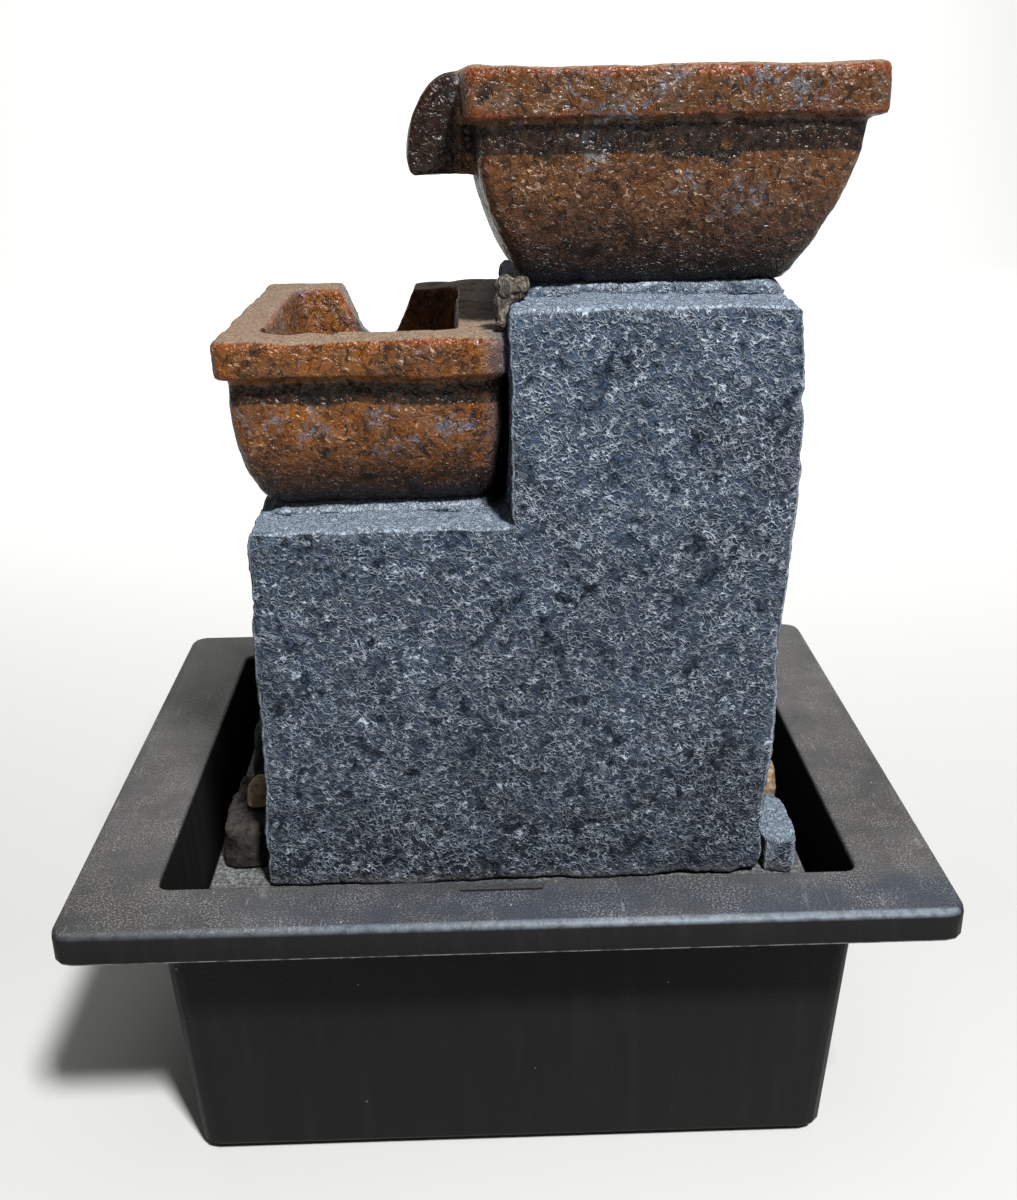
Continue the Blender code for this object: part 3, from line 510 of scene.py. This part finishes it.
def roughen(piece, layers, seed, rounding=0):
    """Presses noise into the skin along its normals. A layer is (kind, size, height) in mm."""
    mesh = piece.data
    points, normals = read_points(mesh)
    if rounding:
        points = relax(mesh, points, rounding)
    offset = Vector((seed * 17.3, seed * 5.1, seed * 9.7))
    moves = np.zeros(len(points))
    for kind, size, height in layers:
        for i, point in enumerate(points):
            at = Vector(point) / size + offset
            value = noise.noise(at)
            if kind == "ridges":
                value = 0.5 - abs(noise.noise(at + 0.6 * noise.noise_vector(at * 0.7))) * 2.2
            elif kind == "chips":
                value = -max(0.0, value - 0.28) * 3.0
            moves[i] += height * value
    write_points(mesh, points + normals * moves[:, None])


def store_relief(piece, rounds, full_mm):
    """Attribute relief: 1 on crests and edges, 0 in hollows, 0.5 on what is flat."""
    mesh = piece.data
    points, normals = read_points(mesh)
    proud = np.einsum("ij,ij->i", points - relax(mesh, points, rounds), normals)
    relief = mesh.attributes.new("relief", "FLOAT", "POINT")
    relief.data.foreach_set("value", np.clip(0.5 + 0.5 * proud / full_mm, 0, 1))
    mesh.shade_smooth()


def creases(tree, at, *folds):
    """Thin crumpled lines: where bent noise passes one level. A fold is (size mm, level, width)."""
    bend = 2.6 * MM
    drift = add_node(tree, "ShaderNodeTexNoise", links={"Vector": at, "Scale": per_mm(1.6), "Detail": 0.6})
    bent = add_node(tree, "ShaderNodeVectorMath", {"operation": "MULTIPLY_ADD"}, {
        0: drift.outputs["Color"], 1: (bend, bend, bend), 2: at}).outputs[0]
    found = None
    for size, level, width in folds:
        field = add_node(tree, "ShaderNodeTexNoise", links={
            "Vector": bent, "Scale": per_mm(size), "Detail": 0.0})
        off = add_node(tree, "ShaderNodeMath", {"operation": "SUBTRACT"}, {
            0: field.outputs[0], 1: level})
        away = add_node(tree, "ShaderNodeMath", {"operation": "ABSOLUTE"}, {0: off.outputs[0]}).outputs[0]
        line = graded(tree, away, 0, width, 1, 0)
        found = line if found is None else add_node(
            tree, "ShaderNodeMath", {"operation": "MAXIMUM"}, {0: found, 1: line}).outputs[0]
    return found


def corner_line(tree, low, high):
    """A thin mask along rounded corners: where the normal points midway between two axes."""
    normal = add_node(tree, "ShaderNodeNewGeometry").outputs["Normal"]
    axes = add_node(tree, "ShaderNodeSeparateXYZ", links={0: normal})
    found = None
    for a, b in (("X", "Y"), ("Y", "Z"), ("X", "Z")):
        both = overlap(tree, axes.outputs[a], axes.outputs[b])
        size = add_node(tree, "ShaderNodeMath", {"operation": "ABSOLUTE"}, {0: both}).outputs[0]
        found = size if found is None else add_node(
            tree, "ShaderNodeMath", {"operation": "MAXIMUM"}, {0: found, 1: size}).outputs[0]
    return graded(tree, found, low, high)


slate, tree, shader = new_material("dry_brushed_slate_resin", "#2b323c", 0.85)
shader.inputs["Specular IOR Level"].default_value = 0.12
coord = add_node(tree, "ShaderNodeTexCoord").outputs["Object"]
relief = add_node(tree, "ShaderNodeAttribute", {"attribute_name": "relief"}).outputs["Fac"]
FOLDS = ((3.2, 0.5, 0.024), (2.2, 0.43, 0.03), (2.7, 0.57, 0.026), (1.8, 0.52, 0.034), (2.4, 0.5, 0.026))
SHADE_DROP = 0.32 * MM
crest = creases(tree, coord, *FOLDS)
# Each crest gets a thin line of painted shadow just under it, as if lit from above.
above = add_node(tree, "ShaderNodeVectorMath", {"operation": "ADD"}, {
    0: coord, 1: (0, 0, SHADE_DROP)}).outputs[0]
painted_crest_shadow = creases(tree, above, *FOLDS)
grit = add_node(tree, "ShaderNodeTexNoise", links={
    "Vector": coord, "Scale": per_mm(1.4), "Detail": 4.0, "Roughness": 0.6, "Distortion": 0.8}).outputs[0]
broken = graded(tree, grit, 0.4, 0.56)
hollow = graded(tree, grit, 0.36, 0.5, 1, 0)
up = add_node(tree, "ShaderNodeSeparateXYZ", links={0: coord}).outputs["Z"]
climb = graded(tree, up, 90.0 * MM, 215.0 * MM)
brushed = overlap(tree, crest, graded(tree, climb, 0, 1, 0.7, 1),
                  patches(tree, coord, 3.4, 0.3, 0.46, 1.0),
                  graded(tree, patches(tree, coord, 8, 0.36, 0.6, 4.0), 0, 1, 0.5, 0.85))
# What faces up is painted paler: painted light from above, broken by the grit.
ledge = overlap(tree, facing_up(tree, 0.5, 0.85), graded(tree, grit, 0.34, 0.5, 0.6, 1))
# The thin pale line along the rounded corners is a painted highlight: the pale backdrop's reflection at the
# edges.
edge = overlap(tree, corner_line(tree, 0.43, 0.49), graded(tree, grit, 0.36, 0.5, 0.25, 1))
rubbed = overlap(tree, graded(tree, relief, 0.6, 0.95), graded(tree, grit, 0.4, 0.56, 0, 1))
haze = patches(tree, coord, 15, 0.4, 0.7, 4.0, 0.8)
soot = patches(tree, coord, 24, 0.5, 0.66, 4.0)
# Hard water leaves a brown and white crust along the foot.
crust = overlap(tree, graded(tree, up, 81.8 * MM, 85.0 * MM, 0.6, 0), broken)
colour = paint_over(tree, linear("#1f262f"),
                    (graded(tree, climb, 0, 1, 0, 0.6), "#43546a"),
                    (graded(tree, haze, 0, 1, 0, 0.45), "#435266"),
                    (graded(tree, soot, 0, 1, 0, 0.5), "#1d2028"),
                    (graded(tree, hollow, 0, 1, 0, 0.6), "#10131a"),
                    (graded(tree, painted_crest_shadow, 0, 1, 0, 0.92), "#06080c"),
                    (brushed, "#c4d1e0"),
                    (graded(tree, ledge, 0, 1, 0, 0.8), "#8b99a8"),
                    (graded(tree, rubbed, 0, 1, 0, 0.2), "#8e9cab"),
                    (crust, "#6f6c68"),
                    (graded(tree, edge, 0, 1, 0, 0.6), "#a7b1bc"))
tree.links.new(colour, shader.inputs["Base Color"])
height = add_node(tree, "ShaderNodeMath", {"operation": "MULTIPLY_ADD"}, {
    0: crest, 1: 0.5, 2: grit}).outputs[0]
press_in(tree, shader, height, 1.5)

pillar = cast_copy("pillar", "slate_pillar", 1.15)
points, _ = read_points(pillar.data)
low, high = (np.array(corner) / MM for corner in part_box("pillar"))
# The sides were never straight: the casting leans out to the right under the upper bowl.
share = (points[:, 2] - low[2]) / (high[2] - low[2])
right = np.clip((points[:, 0] - low[0]) / (high[0] - low[0]), 0, 1)
lean = np.interp(share, (0, 0.2, 0.5, 0.8, 0.93, 1), (-1.8, -1.8, -0.3, 1.3, 0.6, -0.2)) * right
lean += np.interp(share, (0, 0.1, 0.25, 0.6, 0.66), (-1.3, -1.0, 0.4, 0.4, 1.3)) * (1 - right)
# The riser of its step stays upright, so that the lower bowl meets it.
STEP_HEIGHT, RISER_SIDE, RISER_LEAN = 92, 12, -0.3
lean[(points[:, 2] > low[2] + STEP_HEIGHT) & (points[:, 0] < RISER_SIDE)] = RISER_LEAN
points[:, 0] += lean
write_points(pillar.data, points)
roughen(pillar, (("swell", 30, 1.0), ("swell", 9, 0.6), ("ridges", 4.2, 0.35), ("chips", 7, 0.8)), 1, 1)
store_relief(pillar, 3, 0.24)
finish_piece(pillar, slate, "tower", "pillar")


# ---- Mortar ------------------------------------------------------------------------------
# Each bowl is bedded on resin mortar, smeared flat and painted over with the pillar's slate.
# A lump left by hand at the upper bowl's near corner has kept the mortar's bare grey-brown.
mortar, tree, shader = new_material("grey_resin_mortar", "#4a443e", 0.85)
shader.inputs["Specular IOR Level"].default_value = 0.25
coord = add_node(tree, "ShaderNodeTexCoord").outputs["Object"]
dragged = add_node(tree, "ShaderNodeMapping", links={
    "Vector": coord, "Rotation": (0.0, 0.35, 0.0), "Scale": (1.0, 1.0, 0.25)}).outputs[0]
strands = patches(tree, dragged, 0.9, 0.35, 0.65, 3.0, 0.6)
tree.links.new(paint_over(tree, linear("#2c2825"), (strands, "#6d6459"),
                          (graded(tree, patches(tree, coord, 3, 0.5, 0.7), 0, 1, 0, 0.6), "#8a8680")),
               shader.inputs["Base Color"])
press_in(tree, shader, strands, 0.5)
for node_name, piece_name, seed in (("lower_bowl_bed", "lower_mortar_bed", 11),
                                    ("upper_bowl_bed", "upper_mortar_bed", 12)):
    bed = cast_copy(node_name, piece_name, 0.6)
    points, _ = read_points(bed.data)
    middle = (points.max(axis=0) + points.min(axis=0)) / 2
    # It feathers out: wider than the bowl's foot below, tucked under it above.
    slope = np.where(points[:, 2] > middle[2], 0.965, 1.02)[:, None]
    points[:, :2] = middle[:2] + (points[:, :2] - middle[:2]) * slope
    points[:, 2] += np.where(points[:, 2] > middle[2], 0.7, -0.9)
    write_points(bed.data, points)
    roughen(bed, (("swell", 6, 0.5), ("ridges", 2.2, 0.25)), seed, 3)
    store_relief(bed, 8, 0.4)
    finish_piece(bed, slate, "tower", node_name)
# The lump sagged over the pillar's corner before it set.
bm = bmesh.new()
LUMP_DABS = ((4.4, -52.5, 221.2, 2.3, 2.5), (2.0, -52.0, 220.8, 2.6, 2.9),
             (0.6, -53.0, 217.6, 1.7, 3.4), (0.2, -53.5, 214.6, 1.3, 2.4))
for x, y, z, wide, tall in LUMP_DABS:
    place = Matrix.LocRotScale(Vector((x, y, z)) * MM, None, Vector((wide, wide * 1.3, tall)) * MM)
    bmesh.ops.create_icosphere(bm, subdivisions=3, radius=1, matrix=place)
lump_mesh = bpy.data.meshes.new("hand_left_mortar")
bm.to_mesh(lump_mesh)
bm.free()
lump = bpy.data.objects.new("hand_left_mortar", lump_mesh)
scene.collection.objects.link(lump)
even_skin(lump, 0.35)
roughen(lump, (("swell", 3, 0.9), ("ridges", 1.6, 0.35)), 13, 4)
store_relief(lump, 8, 0.3)
finish_piece(lump, mortar, "tower", "mortar_lump")


# ---- Lower bowl --------------------------------------------------------------------------
# Resin cast, rubbed with ochre over a brown-black ground and glazed. Slate paint has settled
# in its pits, the rim's top is scoured to dull tan and its corners are worn back to orange.
def rubbed_terracotta(name, ground, lower_hex, upper_hex, warm_hex, glint_hex, end_hex, end_mm):
    """Rubbed and glazed resin: relief and rise (0 at the base, 1 at the rim) place the colours."""
    made, tree, shader = new_material(name, ground, 0.4)
    shader.inputs["Specular IOR Level"].default_value = 0.28
    coord = add_node(tree, "ShaderNodeTexCoord").outputs["Object"]
    relief = add_node(tree, "ShaderNodeAttribute", {"attribute_name": "relief"}).outputs["Fac"]
    rise = add_node(tree, "ShaderNodeAttribute", {"attribute_name": "rise"}).outputs["Fac"]
    unshaded_by_lip = add_node(tree, "ShaderNodeAttribute", {"attribute_name": "unshaded_by_lip"}).outputs["Fac"]
    crest = creases(tree, coord, (2.0, 0.5, 0.03), (1.3, 0.43, 0.04))
    wrinkle = add_node(tree, "ShaderNodeTexNoise", links={
        "Vector": coord, "Scale": per_mm(1.9), "Detail": 2.5, "Roughness": 0.55,
        "Distortion": 0.9}).outputs[0]
    pits = graded(tree, wrinkle, 0.34, 0.48, 1, 0)
    rubbed = overlap(tree, graded(tree, rise, 0.04, 0.5), graded(tree, wrinkle, 0.32, 0.5, 0.35, 1))
    warm = overlap(tree, patches(tree, coord, 8, 0.4, 0.58, 3.0, 0.8), graded(tree, rise, 0.12, 0.5))
    high = overlap(tree, graded(tree, rise, 0.45, 0.75), patches(tree, coord, 10, 0.35, 0.6, 4.0))
    specked = overlap(tree, patches(tree, coord, 13, 0.52, 0.64, 3.0),
                      patches(tree, coord, 1.5, 0.48, 0.56, 3.0, 0.5),
                      graded(tree, rise, 0.25, 0.45))
    glints = overlap(tree, crest, graded(tree, wrinkle, 0.42, 0.56),
                     graded(tree, rise, 0.05, 0.5, 0.1, 0.9),
                     patches(tree, coord, 5, 0.4, 0.6, 3.0))
    worn = overlap(tree, graded(tree, relief, 0.66, 0.9), graded(tree, rise, 0.2, 0.5),
                   patches(tree, coord, 6, 0.3, 0.55, 4.0))
    scoured = overlap(tree, facing_up(tree, 0.72, 0.95), graded(tree, rise, 0.8, 0.9),
                      graded(tree, wrinkle, 0.3, 0.5, 0.75, 1))
    # Under each overhanging lip the colour is painted shadow, near-black.
    painted_lip_shadow = overlap(tree, graded(tree, unshaded_by_lip, 0.8, 0.5), graded(tree, wrinkle, 0.4, 0.6, 1, 0.8))
    coats = [(rubbed, lower_hex),
             (graded(tree, high, 0, 1, 0, 0.8), upper_hex),
             (graded(tree, warm, 0, 1, 0, 0.7), warm_hex),
             (graded(tree, pits, 0, 1, 0, 0.7), "#1c110c"),
             (graded(tree, specked, 0, 1, 0, 0.75), "#5d6673"),
             (glints, glint_hex),
             (graded(tree, worn, 0, 1, 0, 0.45), "#823c17"),
             (graded(tree, scoured, 0, 1, 0, 0.95), "#7d6a58")]
    # One end takes its own colour over a band: the slate's grey on the lower bowl, painted shade on the
    # upper bowl's spout.
    across = add_node(tree, "ShaderNodeSeparateXYZ", links={0: coord}).outputs["X"]
    at_end = overlap(tree, graded(tree, across, end_mm[0] * MM, end_mm[1] * MM),
                     patches(tree, coord, 2.6, 0.2, 0.36, 4.0))
    coats += [(graded(tree, at_end, 0, 1, 0, 0.9), end_hex),
              (graded(tree, painted_lip_shadow, 0, 1, 0, 0.95), "#0d0806")]
    tree.links.new(paint_over(tree, linear(ground), *coats), shader.inputs["Base Color"])
    tree.links.new(graded(tree, scoured, 0, 1, 0.33, 0.85), shader.inputs["Roughness"])
    height = add_node(tree, "ShaderNodeMath", {"operation": "MULTIPLY_ADD"}, {
        0: crest, 1: 0.2, 2: wrinkle}).outputs[0]
    press_in(tree, shader, height, 1.1)
    return made


def store_rise(piece):
    """Attribute rise: 0 at the piece's lowest point, 1 at its highest."""
    mesh = piece.data
    points, _ = read_points(mesh)
    tall = points[:, 2]
    rise = mesh.attributes.new("rise", "FLOAT", "POINT")
    rise.data.foreach_set("value", (tall - tall.min()) / (tall.max() - tall.min()))


def store_lip_shadow(piece, lip_mm):
    """A point attribute, 0 where a lip overhangs: there the colour takes a painted shadow."""
    mesh = piece.data
    points, normals = read_points(mesh)
    skin = BVHTree.FromObject(piece, bpy.context.evaluated_depsgraph_get())
    found = np.ones(len(points))
    middle = (points[:, 2].min() + points[:, 2].max()) / 2
    clear = 0.4 * MM
    for i, (point, normal) in enumerate(zip(points, normals)):
        is_wall = -0.3 < normal[2] < 0.8
        if point[2] < middle or not is_wall:
            continue
        away = Vector((normal[0], normal[1], 0)).normalized()
        start = Vector(point) * MM + away * clear
        nearly_up = away * 0.12 + Vector((0, 0, 0.99))
        if skin.ray_cast(start, nearly_up, lip_mm * MM)[0]:
            found[i] = 0
    unshaded_by_lip = mesh.attributes.new("unshaded_by_lip", "FLOAT", "POINT")
    unshaded_by_lip.data.foreach_set("value", relax(mesh, found, 3))


# Its right end, against the pillar, has caught the slate's grey.
ochre = rubbed_terracotta("ochre_rubbed_terracotta", "#150b07", "#5c3516", "#4f351d", "#70400e",
                          "#b08e72", end_hex="#454b54", end_mm=(-4.5, 1.5))
lower_bowl = cast_copy("lower_bowl", "lower_bowl_casting", 0.75)
points, _ = read_points(lower_bowl.data)
# Its right end closes most of the gap to the step.
points[:, 0] += np.clip(points[:, 0] + 1.0, 0, 1) * 0.7
# Its far right side was pushed against the pillar's step while the resin was still soft.
soft = np.clip(points[:, 0] + 8, 0, 6) / 6 * np.clip((points[:, 1] + 20) / 15, 0, 1)
points[:, 0] += soft * np.clip(1.9 - points[:, 0], 0, 4)
write_points(lower_bowl.data, points)
roughen(lower_bowl, (("swell", 22, 1.0), ("swell", 7, 0.4), ("ridges", 1.9, 0.12), ("chips", 5, 0.5)),
        seed=2, rounding=2)
store_relief(lower_bowl, 12, 0.4)
store_rise(lower_bowl)
store_lip_shadow(lower_bowl, 5.5)
finish_piece(lower_bowl, ochre, "tower", "lower_bowl")


# ---- Upper bowl --------------------------------------------------------------------------
# The same casting resin, rubbed a browner umber that reddens towards the base. Its lip is
# drawn out to the left into the spout, whose outer face is painted near-black: painted shade.
umber = rubbed_terracotta("umber_rubbed_terracotta", "#130b08", "#4f301a", "#4a382a", "#52300f",
                          "#b59d89", end_hex="#130b08", end_mm=(-7.4, -8.6))
upper_bowl = cast_copy("upper_bowl", "upper_bowl_casting", 0.78)
points, _ = read_points(upper_bowl.data)
low, high = (np.array(corner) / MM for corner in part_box("upper_bowl"))
# It slumped to the right: that side tucks in further at the foot and its lip hangs out.
tall = points[:, 2] - low[2]
slump = np.interp(tall, (0, 10, 15, 20, 26, 33.6, 34), (-2.6, -2.9, -2.1, -1.3, -0.3, 0.1, 1.4))
points[:, 0] += slump * np.clip((points[:, 0] - 35) / 25, 0, 1)
write_points(upper_bowl.data, points)
roughen(upper_bowl, (("swell", 24, 0.9), ("swell", 7, 0.4), ("ridges", 1.9, 0.12), ("chips", 5, 0.45)),
        seed=3, rounding=2)
store_relief(upper_bowl, 12, 0.4)
store_rise(upper_bowl)
store_lip_shadow(upper_bowl, 6.5)
finish_piece(upper_bowl, umber, "tower", "upper_bowl")


# ---- Ledges and stones -------------------------------------------------------------------
# Cast with the deck's stone set and glued to it: slate ledges, brown field stones and tan
# river pebbles. All are painted dark first, then rubbed with their own colour.
def rubbed_stone(name, dark_hex, mid_hex, light_hex, rust_hex):
    """Matt stone paint: dark in the hollows, light on what is proud, and painted light on what faces up."""
    made, tree, shader = new_material(name, mid_hex, 0.8)
    shader.inputs["Specular IOR Level"].default_value = 0.3
    coord = add_node(tree, "ShaderNodeTexCoord").outputs["Object"]
    relief = add_node(tree, "ShaderNodeAttribute", {"attribute_name": "relief"}).outputs["Fac"]
    grit = add_node(tree, "ShaderNodeTexNoise", links={
        "Vector": coord, "Scale": per_mm(1.8), "Detail": 5.0, "Roughness": 0.65,
        "Distortion": 0.5}).outputs[0]
    hollow = overlap(tree, graded(tree, relief, 0.5, 0.3), graded(tree, grit, 0.3, 0.6, 1, 0.5))
    pits = graded(tree, grit, 0.32, 0.45, 1, 0)
    proud = overlap(tree, graded(tree, relief, 0.55, 0.85), graded(tree, grit, 0.4, 0.56, 0.3, 1))
    lit = overlap(tree, facing_up(tree, 0.2, 0.9), graded(tree, grit, 0.42, 0.58))
    rust = patches(tree, coord, 8, 0.5, 0.66, 5.0, 0.8)
    colour = paint_over(tree, linear(mid_hex),
                        (graded(tree, rust, 0, 1, 0, 0.6), rust_hex),
                        (graded(tree, hollow, 0, 1, 0, 0.8), dark_hex),
                        (graded(tree, pits, 0, 1, 0, 0.7), dark_hex),
                        (graded(tree, proud, 0, 1, 0, 0.7), light_hex),
                        (graded(tree, lit, 0, 1, 0, 0.55), light_hex))
    tree.links.new(colour, shader.inputs["Base Color"])
    press_in(tree, shader, grit, 0.9)
    return made


brown_stone = rubbed_stone("brown_rubbed_field_stone", "#0c0b0b", "#191514", "#38332e", "#2a1f18")
tan_stone = rubbed_stone("tan_rubbed_river_stone", "#2a221b", "#6d5a45", "#9c8a70", "#6a4a30")
ledge = cast_copy("ledge_right", "slate_ledge", 0.6)
points, _ = read_points(ledge.data)
# Its inner side was pressed against the pillar's foot, and follows that foot's own lean.
points[:, 0] -= np.clip(69 - points[:, 0], 0, 5) * 0.42
write_points(ledge.data, points)
roughen(ledge, (("swell", 12, 0.3), ("ridges", 2.6, 0.14)), 21, 1)
store_relief(ledge, 5, 0.25)
finish_piece(ledge, slate, "deck_set", "ledge_right")
STONES = (("splash_stone", slate, "slate", 22),
          ("boulder_front_right", slate, "slate", 23), ("boulder_front", brown_stone, "brown_stone", 24),
          ("stone_left_near", brown_stone, "brown_stone", 25),
          ("stone_left_far", brown_stone, "brown_stone", 26),
          ("stone_right_tan", tan_stone, "tan_stone", 27), ("pebble_left_tan", tan_stone, "tan_stone", 28),
          ("pebble_front_1", tan_stone, "tan_stone", 29), ("pebble_front_2", tan_stone, "tan_stone", 30),
          ("pebble_front_3", brown_stone, "brown_stone", 31), ("pebble_front_4", tan_stone, "tan_stone", 32))
for node_name, finish, slot, seed in STONES:
    stone = cast_copy(node_name, node_name + "_casting", 0.6)
    if "pebble" in node_name:
        roughen(stone, (("swell", 7, 0.8), ("ridges", 3, 0.12)), seed, 24)
    else:
        roughen(stone, (("swell", 12, 1.2), ("swell", 5, 0.7), ("ridges", 2.6, 0.3), ("chips", 4, 0.8)),
                seed, 8)
    store_relief(stone, 10, 0.4)
    finish_piece(stone, finish, "deck_set", node_name)
